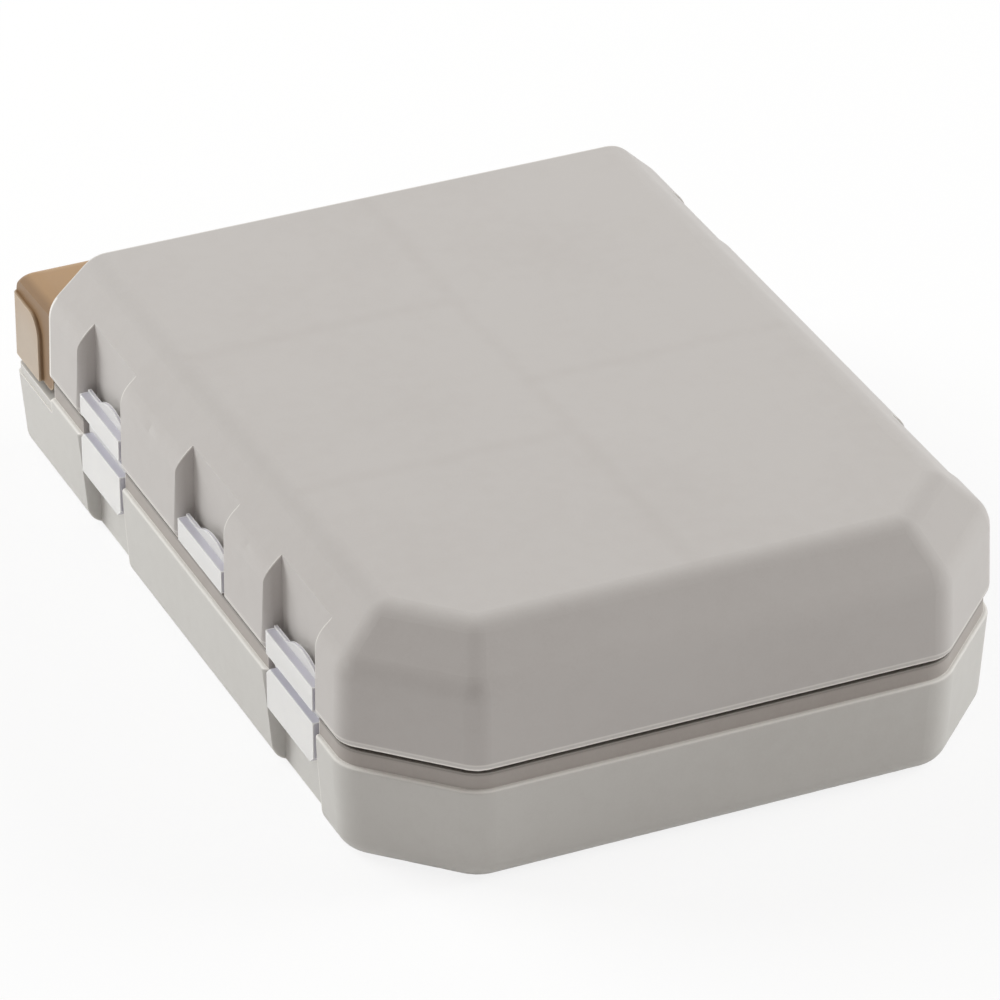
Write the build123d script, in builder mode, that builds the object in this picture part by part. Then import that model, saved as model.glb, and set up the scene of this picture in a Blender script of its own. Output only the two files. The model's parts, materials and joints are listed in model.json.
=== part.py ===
"""Pocket tackle box: two moulded halves that open like a book, clear flaps over
every compartment, and a swing-down lever latch across the far end.

Frame: millimetres, +Z up, origin at the centre of the base's underside. The near
face looks along -Y, the latch end along +Y, and the book hinge runs along the +X side.
"""

from build123d import *
import os
from math import hypot, radians, sqrt, tan

# Closed case
case_width = 92.0
case_length = 128.0
corner_cut = 13.2           # leg of the 45 degree cut across each near corner
corner_round = 6.0          # plan radius where a cut meets a side
far_corner_round = 1.0      # upright corners of the latch end
wall = 1.8

# Base half
base_wall_top = 14.2        # top of the full-width wall
base_rim_top = 16.6         # top of the set-in rim
rim_step = 0.65             # how far the rim is set in
base_floor = 1.8
base_draft = 4.0            # degrees
base_bottom_round = 3.0
wall_edge_round = 0.4

# Lid half
rim_gap = 0.3               # daylight between the two rims
lid_height = 18.1
lid_wall_height = 11.9      # upright part of the lid's sides
lid_wall_draft = 1.5        # degrees
lid_slope_run = 6.6         # how far the bevelled shoulder runs in
lid_top_thickness = 1.8
lid_round = 4.5             # every outer edge of the lid above its rim
lid_rim_round = 1.3         # lower outer edge of the lid

# Notches in the long sides, where the finger tabs come out
near_notch_length = 16.5
near_notch_place = 29.45    # its middle, from the near face
middle_notch_length = 16.2
middle_notch_place = 2.55   # its middle, from the lid's middle towards the latch
far_notch_length = 15.3
far_notch_place = 18.75     # its middle, from the lid's far end
right_far_notch_place = 16.6
notch_depth = 2.7
notch_near_round = 0.5      # easing of the mouth at the near end
notch_far_round = 1.4       # softer easing at the far end

# Dividers
divider_thickness = 1.4
lid_near_divider = 45.0     # left column of the lid, from the near face
lid_far_divider = 31.3      # left column of the lid, from its far end
single_divider = 1.85       # every other column, from the lid's middle towards the latch
spine_thickness = 1.6       # the lengthwise divider between the two columns
floor_round = 1.0           # inside corner along each compartment's floor

# Clear flaps
flap_thickness = 1.2
flap_setback = 0.55         # from the parting plane to a flap's outer face
flap_edge_gap = 0.3         # round a flap, and between a flap and what is under it
flap_pivot_offset = 2.4     # each rod's distance from the centreline
flap_pivot_depth = 1.6      # each rod's distance from the parting plane
flap_barrel_radius = 1.3
flap_rod_radius = 0.7
rod_grip = 0.02             # radial clearance where a rod or pin is held
rod_running = 0.08          # radial clearance where something turns on it
rod_end_gap = 0.2           # a rod stops this far short of what it is pushed up to
lug_thickness = 1.6
lug_gap = 0.3
spine_setback = 0.35        # from the parting plane to the spine's edge
tab_side_gap = 0.6
tab_thickness = 1.2
base_tab_drop = 7.0         # how far a lower finger tab hangs below its flap's face
base_tab_step = 0.7         # how far that tab's upper edge lies below the face
lid_tab_rise = 3.5          # height of an upper finger tab's plate
ear_thickness = 1.0         # the arched ear that stands behind that plate
ear_rise = 1.8              # height of the arch above the plate
ear_step = 0.4              # height of the ear's low ends above the plate

# Book hinge on the +X side
hinge_centre = 62.8         # from the near face
knuckle_radius = 2.3
knuckle_length = 8.6
knuckle_gap = 0.3
knuckle_count = 5
hinge_pin_radius = 1.0
hinge_web_depth = 2.0       # how far a knuckle's web runs on past the knuckle
hinge_end_cap = 1.2         # closed end of the bore in the far knuckle

# Lever latch
latch_depth = 13.7          # how far the lever's end of the case runs past the lid
latch_gap = 0.3             # between the lever and the lid's far end
latch_bottom = 14.7
latch_ledge_top = 12.0      # the base's lower wall under the lever
latch_lip_top = 13.3        # the lip that stands on that wall
latch_lip_step = 0.35       # how far the lip is set in
latch_far_top = 27.7        # lever's top above its far face
latch_near_top = 28.2       # lever's top beside the lid
latch_wall = 1.6
latch_round = 3.5
latch_heel_round = 1.5      # lower edge of the lever beside the lid
latch_pivot_inset = 2.0     # pivot's distance in from the far face
latch_pivot_rise = 2.2      # pivot's height above the lever's lower edge
latch_pin_radius = 0.9
latch_arm_radius = 1.8
latch_arm_width = 6.0
latch_arm_offset = 28.0     # each arm's distance from the centreline
latch_rib = 2.4
latch_side_gap = 0.3
pad_length = 9.4            # finger pad on each end of the lever
pad_height = 9.6
pad_relief = 0.6
pad_round = 3.0             # upper corner of the pad beside the lid

# Places that follow from the sizes above
half_width = case_width / 2
near_y = -case_length / 2
far_y = case_length / 2
lid_end_y = far_y - latch_depth
lid_middle_y = (near_y + lid_end_y) / 2
parting_z = base_rim_top + rim_gap / 2
lid_rim_z = base_rim_top + rim_gap
lid_top_z = lid_rim_z + lid_height
hinge_x = half_width + knuckle_radius + knuckle_gap
hinge_y = near_y + hinge_centre
flap_bed_depth = flap_setback + flap_thickness + flap_edge_gap
latch_pivot_y = far_y - latch_pivot_inset
latch_pivot_z = latch_bottom + latch_pivot_rise
latch_inner_y = lid_end_y + latch_gap
base_splay = base_wall_top * tan(radians(base_draft))
CUT_MARGIN = 2.0            # how far a cutting body runs past what it cuts
END_BAND = 0.05             # how near a plane an edge's centre lies to count as on it
UPRIGHT = 0.9               # least share of Z in the direction of an upright edge
EAR_FAR_SHARE = 0.3         # share of a tab under the ear's far low end
EAR_NEAR_SHARE = 0.18       # share of a tab under the ear's near low end


def span_about(middle, length):
    """Where something of that length about a middle starts and ends."""
    return (middle - length / 2, middle + length / 2)


notch_near = span_about(near_y + near_notch_place, near_notch_length)
notch_middle = span_about(lid_middle_y + middle_notch_place, middle_notch_length)
notch_far = span_about(lid_end_y - far_notch_place, far_notch_length)
notch_right_far = span_about(lid_end_y - right_far_notch_place, far_notch_length)
left_lid_dividers = (near_y + lid_near_divider, lid_end_y - lid_far_divider)
one_divider = (lid_middle_y + single_divider,)


def plan_points(inset, far_inset, end_y):
    """Corners of the plan outline, drawn in by inset, with its far end at end_y."""
    half = half_width - inset
    cut = corner_cut - inset * (2 - sqrt(2))
    low = near_y + inset
    high = end_y - far_inset
    return [
        (-half, high),
        (-half, low + cut),
        (-half + cut, low),
        (half - cut, low),
        (half, low + cut),
        (half, high),
    ]


def draw_stack(levels, mode=Mode.ADD):
    """Body through plan outlines: each level is (height, inset, far inset, end y)."""
    sections = []
    for height, inset, far_inset, end_y in levels:
        with BuildSketch(Plane.XY.offset(height)) as section:
            with BuildLine():
                Polyline(*plan_points(inset, far_inset, end_y), close=True)
            make_face()
        sections.append(section.sketch)
    loft(sections, ruled=True, mode=mode)


def draw_box(low, high, mode=Mode.ADD):
    """Block between two opposite corners."""
    with Locations(tuple((a + b) / 2 for a, b in zip(low, high))):
        Box(*(b - a for a, b in zip(low, high)), mode=mode)


def draw_side_box(side, x_span, y_span, z_span, mode=Mode.ADD):
    """Block on one side of the centreline: x_span counts outwards, z_span either way."""
    xs = sorted(side * x for x in x_span)
    zs = sorted(z_span)
    draw_box((xs[0], y_span[0], zs[0]), (xs[1], y_span[1], zs[1]), mode=mode)


def draw_rod_y(radius, x, z, y_start, y_end, mode=Mode.ADD):
    """Round rod, or round bore, that lies along Y."""
    with BuildSketch(Plane.XZ.offset(-y_start)) as section:
        with Locations((x, z)):
            Circle(radius)
    extrude(section.sketch, amount=y_start - y_end, mode=mode)


def draw_rod_x(radius, y, z, x_start, x_end, mode=Mode.ADD):
    """Round rod, or round bore, that lies along X."""
    with BuildSketch(Plane.YZ.offset(x_start)) as section:
        with Locations((y, z)):
            Circle(radius)
    extrude(section.sketch, amount=x_end - x_start, mode=mode)


def cut_notch(side, notch, z_low, z_high):
    """Takes a notch from a side wall, with its mouth eased at both ends."""
    start, end = notch
    bulge = 1 - sqrt(0.5)
    floor_x = side * (half_width - notch_depth)
    mouth_x = side * half_width
    outer_x = side * (half_width + CUT_MARGIN)
    near_lip_x = side * (half_width - notch_near_round)
    far_lip_x = side * (half_width - notch_far_round)
    near_bulge = (side * (half_width - notch_near_round * bulge), start - notch_near_round * bulge)
    far_bulge = (side * (half_width - notch_far_round * bulge), end + notch_far_round * bulge)
    near_mouth = (mouth_x, start - notch_near_round)
    far_mouth = (mouth_x, end + notch_far_round)
    with BuildSketch(Plane.XY.offset(z_low)) as section:
        with BuildLine():
            Line((floor_x, start), (near_lip_x, start))
            ThreePointArc((near_lip_x, start), near_bulge, near_mouth)
            Polyline(near_mouth, (outer_x, near_mouth[1]), (outer_x, far_mouth[1]), far_mouth)
            ThreePointArc(far_mouth, far_bulge, (far_lip_x, end))
            Polyline((far_lip_x, end), (floor_x, end), (floor_x, start))
        make_face()
    extrude(section.sketch, amount=z_high - z_low, mode=Mode.SUBTRACT)


def cut_tab_passes(places, up):
    """Gap through each notch's wall beside the parting plane, where a tab comes out."""
    for side, notch in places:
        draw_side_box(
            side,
            (half_width - notch_depth - 2 * wall, half_width),
            notch,
            (parting_z, parting_z + up * flap_bed_depth),
            mode=Mode.SUBTRACT,
        )


def make_hollow(levels, up, floor_z, columns):
    """Inside of one half: its dividers and the walls that the notches push in are left."""
    bed_z = parting_z + up * flap_bed_depth
    low_z = min(bed_z, floor_z) - (CUT_MARGIN if up < 0 else 0)
    high_z = max(bed_z, floor_z) + (CUT_MARGIN if up > 0 else 0)
    with BuildPart() as space:
        draw_stack(levels)
        draw_box(
            (-spine_thickness / 2, near_y, low_z),
            (spine_thickness / 2, lid_end_y, high_z),
            mode=Mode.SUBTRACT,
        )
        for side, dividers, notches in columns:
            for middle in dividers:
                draw_side_box(
                    side,
                    (0, half_width),
                    span_about(middle, divider_thickness),
                    (low_z, high_z),
                    mode=Mode.SUBTRACT,
                )
            for start, end in notches:
                draw_side_box(
                    side,
                    (half_width - notch_depth - wall, half_width + CUT_MARGIN),
                    (start - wall, end + wall),
                    (low_z, high_z),
                    mode=Mode.SUBTRACT,
                )
        floor_edges = space.edges().filter_by(
            lambda e: abs(e.center().Z - floor_z) < END_BAND and abs(e.tangent_at(0.5).Z) < END_BAND
        )
        fillet(floor_edges, radius=floor_round)
    return space.part


def draw_flap_seats(up, columns):
    """Spine and lugs that carry the flap rods. up is 1 in the lid and -1 in the base."""
    bed_z = parting_z + up * (flap_bed_depth + flap_barrel_radius)
    edge_z = parting_z + up * spine_setback
    pivot_z = parting_z + up * flap_pivot_depth
    inner_near = near_y + wall / 2
    inner_far = lid_end_y - wall / 2
    draw_side_box(1, (-spine_thickness / 2, spine_thickness / 2), (inner_near, inner_far), (bed_z, edge_z))
    for side, dividers, notches in columns:
        spans = [(inner_near, near_y + wall + lug_thickness)]
        spans += [span_about(middle, lug_thickness) for middle in dividers]
        spans += [(lid_end_y - wall - lug_thickness, inner_far)]
        for span in spans:
            draw_rod_y(flap_barrel_radius, side * flap_pivot_offset, pivot_z, *span)
            draw_side_box(side, (0, flap_pivot_offset), span, (bed_z, pivot_z))


def cut_rod_bores(up):
    """Bores for one half's flap rods, through every lug and out of the far wall."""
    for side in (-1, 1):
        draw_rod_y(
            flap_rod_radius + rod_grip,
            side * flap_pivot_offset,
            parting_z + up * flap_pivot_depth,
            near_y + wall,
            lid_end_y + CUT_MARGIN,
            mode=Mode.SUBTRACT,
        )


def knuckle_starts(owner):
    """Y of each hinge knuckle on one half: owner 0 is the base, 1 the lid."""
    pitch = knuckle_length + knuckle_gap
    first = hinge_y - (knuckle_count * pitch - knuckle_gap) / 2
    return [first + i * pitch for i in range(owner, knuckle_count, 2)]


hinge_near_end = knuckle_starts(0)[0]
hinge_far_end = knuckle_starts(0)[-1] + knuckle_length


def draw_knuckles(owner, up):
    """Knuckles of one half, with the webs that join them to its wall."""
    edge_z = parting_z + up * rim_gap / 2
    root_z = parting_z + up * (knuckle_radius + hinge_web_depth)
    brow_z = parting_z + up * knuckle_radius
    root_x = half_width - rim_step - wall / 4
    web = [(root_x, edge_z), (hinge_x, edge_z), (hinge_x, brow_z), (half_width, root_z), (root_x, root_z)]
    for start in knuckle_starts(owner):
        draw_rod_y(knuckle_radius, hinge_x, parting_z, start, start + knuckle_length)
        with BuildSketch(Plane.XZ.offset(-start)) as section:
            with BuildLine():
                Polyline(*web, close=True)
            make_face()
        extrude(section.sketch, amount=-knuckle_length)


def cut_hinge_bore(clearance):
    """Bore for the hinge pin, up to the far knuckle's closed end."""
    draw_rod_y(
        hinge_pin_radius + clearance,
        hinge_x,
        parting_z,
        hinge_near_end - CUT_MARGIN,
        hinge_far_end - hinge_end_cap,
        mode=Mode.SUBTRACT,
    )


def draw_latch_arm(offset):
    """Arm from the base's end wall out to the lever's pivot."""
    root_y = lid_end_y - wall / 2
    with BuildSketch(Plane.YZ.offset(offset - latch_arm_width / 2)) as section:
        with Locations((latch_pivot_y, latch_pivot_z)):
            Circle(latch_arm_radius)
        with BuildLine():
            Polyline(
                (root_y, latch_lip_top),
                (latch_pivot_y, latch_pivot_z - latch_arm_radius),
                (latch_pivot_y, base_rim_top),
                (root_y, base_rim_top),
                close=True,
            )
        make_face()
    extrude(section.sketch, amount=latch_arm_width)


# Columns of compartments: side, dividers and notches
base_columns = (
    (-1, one_divider, (notch_near, notch_far)),
    (1, one_divider, (notch_near, notch_right_far)),
)
lid_columns = (
    (-1, left_lid_dividers, (notch_near, notch_middle, notch_far)),
    (1, one_divider, (notch_near, notch_right_far)),
)
base_notches = [(side, notch) for side, dividers, notches in base_columns for notch in notches]
lid_notches = [(side, notch) for side, dividers, notches in lid_columns for notch in notches]

# Base half
floor_splay = (base_wall_top - base_floor) * tan(radians(base_draft))
base_hollow = make_hollow(
    [
        (base_floor, wall + floor_splay, wall, lid_end_y),
        (base_wall_top, wall, wall, lid_end_y),
        (base_rim_top + CUT_MARGIN, wall, wall, lid_end_y),
    ],
    -1,
    base_floor,
    base_columns,
)
latch_pin_reach = latch_arm_offset + latch_arm_width / 2 + latch_side_gap + latch_rib

with BuildPart() as base_shell:
    draw_stack([(0, base_splay, base_splay, far_y), (base_wall_top, 0, 0, far_y)])
    uprights = base_shell.edges().filter_by(lambda e: abs(e.tangent_at(0.5).Z) > UPRIGHT)
    fillet(uprights.filter_by(lambda e: e.center().Y < 0), radius=corner_round)
    fillet(base_shell.edges().group_by(Axis.Z)[0], radius=base_bottom_round)
    uprights = base_shell.edges().filter_by(lambda e: abs(e.tangent_at(0.5).Z) > UPRIGHT)
    fillet(uprights.group_by(Axis.Y)[-1], radius=far_corner_round)
    fillet(base_shell.edges().group_by(Axis.Z)[-1], radius=wall_edge_round)
    with BuildSketch(Plane.XY.offset(base_wall_top - wall_edge_round * 2)) as rim:
        with BuildLine():
            Polyline(*plan_points(rim_step, 0, lid_end_y), close=True)
        make_face()
        fillet(rim.vertices().filter_by(lambda v: v.Y < 0), radius=corner_round - rim_step)
    extrude(amount=base_rim_top - base_wall_top + wall_edge_round * 2)
    draw_box(
        (-half_width - CUT_MARGIN, lid_end_y, latch_ledge_top),
        (half_width + CUT_MARGIN, far_y + CUT_MARGIN, parting_z),
        mode=Mode.SUBTRACT,
    )
    with BuildSketch(Plane.XY.offset(latch_ledge_top - wall_edge_round)):
        with Locations((0, (lid_end_y - wall + far_y - latch_lip_step) / 2)):
            Rectangle(case_width - 2 * latch_lip_step, latch_depth + wall - latch_lip_step)
        fillet(vertices().group_by(Axis.Y)[-1], radius=far_corner_round)
    extrude(amount=latch_lip_top - latch_ledge_top + wall_edge_round)
    draw_box(
        (-half_width + wall + base_splay, lid_end_y, base_floor),
        (half_width - wall - base_splay, far_y - wall - base_splay, parting_z),
        mode=Mode.SUBTRACT,
    )
    for side, notch in base_notches:
        cut_notch(side, notch, -CUT_MARGIN, parting_z)
    add(base_hollow, mode=Mode.SUBTRACT)
    draw_flap_seats(-1, base_columns)
    cut_tab_passes(base_notches, -1)
    draw_knuckles(0, -1)
    for side in (-1, 1):
        draw_latch_arm(side * latch_arm_offset)
    cut_rod_bores(-1)
    cut_hinge_bore(rod_grip)
    draw_rod_x(
        latch_pin_radius + rod_grip,
        latch_pivot_y,
        latch_pivot_z,
        -half_width,
        half_width,
        mode=Mode.SUBTRACT,
    )
base_shell.part.label = "base_shell"

# Lid half
wall_splay = lid_wall_height * tan(radians(lid_wall_draft))
shoulder_rise = lid_height - lid_wall_height
shoulder_wall = wall * hypot(shoulder_rise, lid_slope_run) / shoulder_rise
inner_wall_height = lid_wall_height - (shoulder_wall - wall) * shoulder_rise / lid_slope_run
inner_top_rise = lid_height - lid_top_thickness
inner_slope_run = lid_slope_run * (inner_top_rise - lid_wall_height) / shoulder_rise
inner_top_inset = wall_splay + shoulder_wall + inner_slope_run
lid_hollow = make_hollow(
    [
        (lid_rim_z - CUT_MARGIN, wall, wall, lid_end_y),
        (lid_rim_z, wall, wall, lid_end_y),
        (lid_rim_z + inner_wall_height, wall + wall_splay, wall, lid_end_y),
        (lid_rim_z + inner_top_rise, inner_top_inset, wall, lid_end_y),
    ],
    1,
    lid_rim_z + inner_top_rise,
    lid_columns,
)

with BuildPart() as lid_shell:
    draw_stack(
        [
            (lid_rim_z, 0, 0, lid_end_y),
            (lid_rim_z + lid_wall_height, wall_splay, 0, lid_end_y),
            (lid_top_z, wall_splay + lid_slope_run, 0, lid_end_y),
        ]
    )
    free_edges = lid_shell.edges().filter_by(lambda e: e.center().Y < lid_end_y - END_BAND)
    fillet(free_edges.filter_by(lambda e: e.center().Z > lid_rim_z + END_BAND), radius=lid_round)
    free_edges = lid_shell.edges().filter_by(lambda e: e.center().Y < lid_end_y - END_BAND)
    fillet(free_edges.filter_by(lambda e: e.center().Z < lid_rim_z + END_BAND), radius=lid_rim_round)
    add(lid_hollow, mode=Mode.SUBTRACT)
    for side, notch in lid_notches:
        cut_notch(side, notch, parting_z, lid_top_z)
    draw_flap_seats(1, lid_columns)
    cut_tab_passes(lid_notches, 1)
    draw_knuckles(1, 1)
    cut_rod_bores(1)
    cut_hinge_bore(rod_running)
lid_shell.part.label = "lid_shell"


def make_flap(side, up, span, notch):
    """One clear flap: plate, barrel on its rod, and a finger tab through its notch."""
    start, end = span
    plate_near = start + flap_edge_gap
    plate_far = end - flap_edge_gap
    near_lug = lug_thickness if start <= near_y + wall else lug_thickness / 2
    far_lug = lug_thickness if end >= lid_end_y - wall else lug_thickness / 2
    barrel = (start + near_lug + lug_gap, end - far_lug - lug_gap)
    face_z = parting_z + up * flap_setback
    plate_z = min(face_z, face_z + up * flap_thickness)
    pivot_x = side * flap_pivot_offset
    pivot_z = parting_z + up * flap_pivot_depth
    root_x = side * (flap_pivot_offset + flap_barrel_radius + flap_edge_gap)
    plate_x = side * (half_width - wall - flap_edge_gap)
    tab = (notch[0] + tab_side_gap, notch[1] - tab_side_gap)
    tab_middle = sum(tab) / 2
    tab_length = tab[1] - tab[0]
    tab_start_z = face_z - base_tab_step if up < 0 else face_z
    tab_end_z = face_z + up * (base_tab_drop if up < 0 else lid_tab_rise)
    neck_x = side * (half_width - (tab_thickness if up < 0 else 0))
    with BuildPart() as flap:
        with BuildSketch(Plane.XY.offset(plate_z)):
            with BuildLine():
                Polyline(*plan_points(wall + flap_edge_gap, wall + flap_edge_gap, lid_end_y), close=True)
            make_face()
            with Locations(((root_x + plate_x) / 2, (plate_near + plate_far) / 2)):
                Rectangle(abs(plate_x - root_x), plate_far - plate_near, mode=Mode.INTERSECT)
            with Locations(((root_x + pivot_x) / 2, sum(barrel) / 2)):
                Rectangle(abs(root_x - pivot_x), barrel[1] - barrel[0])
            with Locations(((plate_x + neck_x) / 2, tab_middle)):
                Rectangle(abs(neck_x - plate_x), tab_length)
        extrude(amount=flap_thickness)
        draw_rod_y(flap_barrel_radius, pivot_x, pivot_z, *barrel)
        draw_side_box(side, (half_width - tab_thickness, half_width), tab, (tab_start_z, tab_end_z))
        if up > 0:
            ear_back_x = half_width - tab_thickness - ear_thickness
            ear_end_z = tab_end_z + ear_step
            arch = (tab[0] + tab_length * EAR_NEAR_SHARE, tab[1] - tab_length * EAR_FAR_SHARE)
            peak = (sum(arch) / 2, tab_end_z + ear_rise)
            with BuildSketch(Plane.YZ.offset(min(side * ear_back_x, side * (ear_back_x + ear_thickness)))):
                with BuildLine():
                    Polyline((tab[0], face_z), (tab[1], face_z), (tab[1], ear_end_z), (arch[1], ear_end_z))
                    ThreePointArc((arch[1], ear_end_z), peak, (arch[0], ear_end_z))
                    Polyline((arch[0], ear_end_z), (tab[0], ear_end_z), (tab[0], face_z))
                make_face()
            extrude(amount=ear_thickness)
        draw_rod_y(
            flap_rod_radius + rod_running, pivot_x, pivot_z, near_y, lid_end_y, mode=Mode.SUBTRACT
        )
    return flap.part


def flap_spans(dividers):
    """Where each compartment of a column starts and ends along Y."""
    ends = [near_y + wall, *dividers, lid_end_y - wall]
    return list(zip(ends[:-1], ends[1:]))


pieces = [base_shell.part, lid_shell.part]
for half, up, columns in (("base", -1, base_columns), ("lid", 1, lid_columns)):
    for side, dividers, notches in columns:
        hand = "left" if side < 0 else "right"
        names = ("near", "far") if len(notches) == 2 else ("near", "middle", "far")
        for place, span, notch in zip(names, flap_spans(dividers), notches):
            flap = make_flap(side, up, span, notch)
            flap.label = f"{half}_flap_{hand}_{place}"
            pieces.append(flap)
        with BuildPart() as flap_rod:
            draw_rod_y(
                flap_rod_radius,
                side * flap_pivot_offset,
                parting_z + up * flap_pivot_depth,
                near_y + wall + rod_end_gap,
                lid_end_y - rod_end_gap,
            )
        flap_rod.part.label = f"{half}_flap_rod_{hand}"
        pieces.append(flap_rod.part)

# Book hinge pin
with BuildPart() as hinge_pin:
    draw_rod_y(
        hinge_pin_radius,
        hinge_x,
        parting_z,
        hinge_near_end + rod_end_gap,
        hinge_far_end - hinge_end_cap - rod_end_gap,
    )
hinge_pin.part.label = "hinge_pin"
pieces.append(hinge_pin.part)

# Lever latch: a hollow cap over the base's arms, with ribs beside each arm
rib_shift = (latch_arm_width + latch_rib) / 2 + latch_side_gap
rib_places = [side * latch_arm_offset + way * rib_shift for side in (-1, 1) for way in (-1, 1)]
inner_far_y = far_y - latch_wall
rib_points = [
    (latch_inner_y, latch_bottom),
    (far_y - latch_wall / 2, latch_bottom),
    (far_y - latch_wall / 2, latch_far_top - latch_round),
    (far_y - latch_round, latch_far_top - latch_wall / 2),
    (latch_inner_y, latch_near_top - latch_wall / 2),
]
with BuildPart() as end_latch:
    with BuildSketch(Plane.YZ.offset(-half_width)):
        with BuildLine():
            Polyline(
                (latch_inner_y, latch_bottom),
                (far_y, latch_bottom),
                (far_y, latch_far_top),
                (latch_inner_y, latch_near_top),
                close=True,
            )
        make_face()
    extrude(amount=case_width)
    fillet(end_latch.edges().filter_by(Axis.Z).group_by(Axis.Y)[-1], radius=far_corner_round)
    top_edges = end_latch.faces().sort_by(Axis.Z)[-1].edges()
    fillet(top_edges.filter_by(lambda e: e.center().Y > latch_inner_y + END_BAND), radius=latch_round)
    heel = end_latch.edges().filter_by(Axis.X).sort_by(Axis.Z)[:2].sort_by(Axis.Y)[0]
    fillet(heel, radius=latch_heel_round)
    with BuildSketch(Plane.YZ.offset(-half_width + pad_relief + latch_wall)):
        with BuildLine():
            Polyline(
                (latch_inner_y - CUT_MARGIN, latch_bottom - CUT_MARGIN),
                (inner_far_y, latch_bottom - CUT_MARGIN),
                (inner_far_y, latch_far_top - latch_wall),
                (latch_inner_y - CUT_MARGIN, latch_near_top - latch_wall),
                close=True,
            )
        make_face()
        fillet(vertices().group_by(Axis.X)[-1].sort_by(Axis.Y)[-1], radius=latch_round - latch_wall / 2)
    extrude(amount=case_width - 2 * (pad_relief + latch_wall), mode=Mode.SUBTRACT)
    for place in rib_places:
        with BuildSketch(Plane.YZ.offset(place - latch_rib / 2)):
            with BuildLine():
                Polyline(*rib_points, close=True)
            make_face()
            with Locations((latch_pivot_y, latch_pivot_z)):
                Circle(latch_arm_radius)
        extrude(amount=latch_rib)
    for side in (-1, 1):
        relief_x = side * (half_width - pad_relief) if side > 0 else -half_width
        with BuildSketch(Plane.YZ.offset(relief_x)):
            with Locations((lid_end_y + latch_depth / 2, (latch_bottom + latch_near_top) / 2)):
                Rectangle(latch_depth + CUT_MARGIN, latch_near_top - latch_bottom + 2 * CUT_MARGIN)
            with BuildLine():
                FilletPolyline(
                    (far_y - pad_length, latch_bottom - CUT_MARGIN * 2),
                    (far_y - pad_length, latch_bottom + pad_height),
                    (far_y + CUT_MARGIN, latch_bottom + pad_height),
                    radius=pad_round,
                )
                Polyline(
                    (far_y + CUT_MARGIN, latch_bottom + pad_height),
                    (far_y + CUT_MARGIN, latch_bottom - CUT_MARGIN * 2),
                    (far_y - pad_length, latch_bottom - CUT_MARGIN * 2),
                )
            make_face(mode=Mode.SUBTRACT)
        extrude(amount=pad_relief, mode=Mode.SUBTRACT)
        draw_box(
            (
                side * latch_arm_offset - latch_arm_width / 2 - latch_side_gap,
                latch_inner_y - CUT_MARGIN,
                latch_bottom - CUT_MARGIN,
            ),
            (
                side * latch_arm_offset + latch_arm_width / 2 + latch_side_gap,
                far_y + CUT_MARGIN,
                latch_pivot_z + latch_arm_radius + latch_side_gap,
            ),
            mode=Mode.SUBTRACT,
        )
    draw_rod_x(
        latch_pin_radius + rod_running,
        latch_pivot_y,
        latch_pivot_z,
        -latch_pin_reach,
        latch_pin_reach,
        mode=Mode.SUBTRACT,
    )
end_latch.part.label = "end_latch"
pieces.append(end_latch.part)

with BuildPart() as latch_pin:
    draw_rod_x(
        latch_pin_radius,
        latch_pivot_y,
        latch_pivot_z,
        -latch_pin_reach + latch_rib / 2,
        latch_pin_reach - latch_rib / 2,
    )
latch_pin.part.label = "latch_pin"
pieces.append(latch_pin.part)

size = Compound(children=[Part(piece.wrapped) for piece in pieces]).bounding_box().size
print(f"overall {size.X:.1f} x {size.Y:.1f} x {size.Z:.1f} mm in {len(pieces)} pieces")

os.makedirs("parts", exist_ok=True)
for piece in pieces:
    export_step(piece, f"parts/{piece.label}.step")
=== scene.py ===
# %% [markdown]
# # A pocket tackle box
# The box is two moulded halves that open like a book, with a tan lever latch across
# one end. Clear flaps lie over the compartments, and their finger tabs come out
# through notches in the long sides. The solids, in their true sizes, are loaded as
# they are. What this lesson adds is what the eye reads as material: fine-grained
# plastic, clear plastic, drawn steel, soft light and a camera in the right place. One
# family of pieces, the clear flaps, is made again here by rule, with softer edges.

# %% Load the solids
import json
from math import cos, pi, radians, sin, sqrt

import bmesh
import bpy
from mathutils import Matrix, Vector

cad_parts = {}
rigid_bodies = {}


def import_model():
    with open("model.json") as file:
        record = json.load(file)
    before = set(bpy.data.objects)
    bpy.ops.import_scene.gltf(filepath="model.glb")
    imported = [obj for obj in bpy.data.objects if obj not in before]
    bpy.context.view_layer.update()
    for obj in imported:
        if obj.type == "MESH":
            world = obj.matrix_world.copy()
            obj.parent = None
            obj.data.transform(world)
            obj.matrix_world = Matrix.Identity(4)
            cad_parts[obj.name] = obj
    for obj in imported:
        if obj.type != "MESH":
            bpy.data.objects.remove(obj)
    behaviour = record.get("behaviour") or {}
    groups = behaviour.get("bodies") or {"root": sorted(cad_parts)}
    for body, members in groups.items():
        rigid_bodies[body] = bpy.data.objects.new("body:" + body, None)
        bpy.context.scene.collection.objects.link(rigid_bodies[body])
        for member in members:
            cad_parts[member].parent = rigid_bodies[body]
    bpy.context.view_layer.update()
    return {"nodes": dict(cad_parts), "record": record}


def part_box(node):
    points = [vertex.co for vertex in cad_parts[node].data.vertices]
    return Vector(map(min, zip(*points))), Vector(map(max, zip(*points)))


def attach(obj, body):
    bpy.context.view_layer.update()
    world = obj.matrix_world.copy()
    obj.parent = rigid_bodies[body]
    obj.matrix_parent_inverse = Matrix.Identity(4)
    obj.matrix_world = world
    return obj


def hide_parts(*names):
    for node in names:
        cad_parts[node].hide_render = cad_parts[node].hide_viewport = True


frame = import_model()
MM = 0.001

# %% [markdown]
# ## The camera
# A long lens far away gives the flat, calm perspective of a catalogue picture. The
# corners and outlines of the closed case, read from the picture, fix where the camera
# stands, how long its lens is and how far the picture is shifted. An Empty could hold
# the aim, but a direction worked out once is easier to read and leaves nothing behind.

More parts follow.
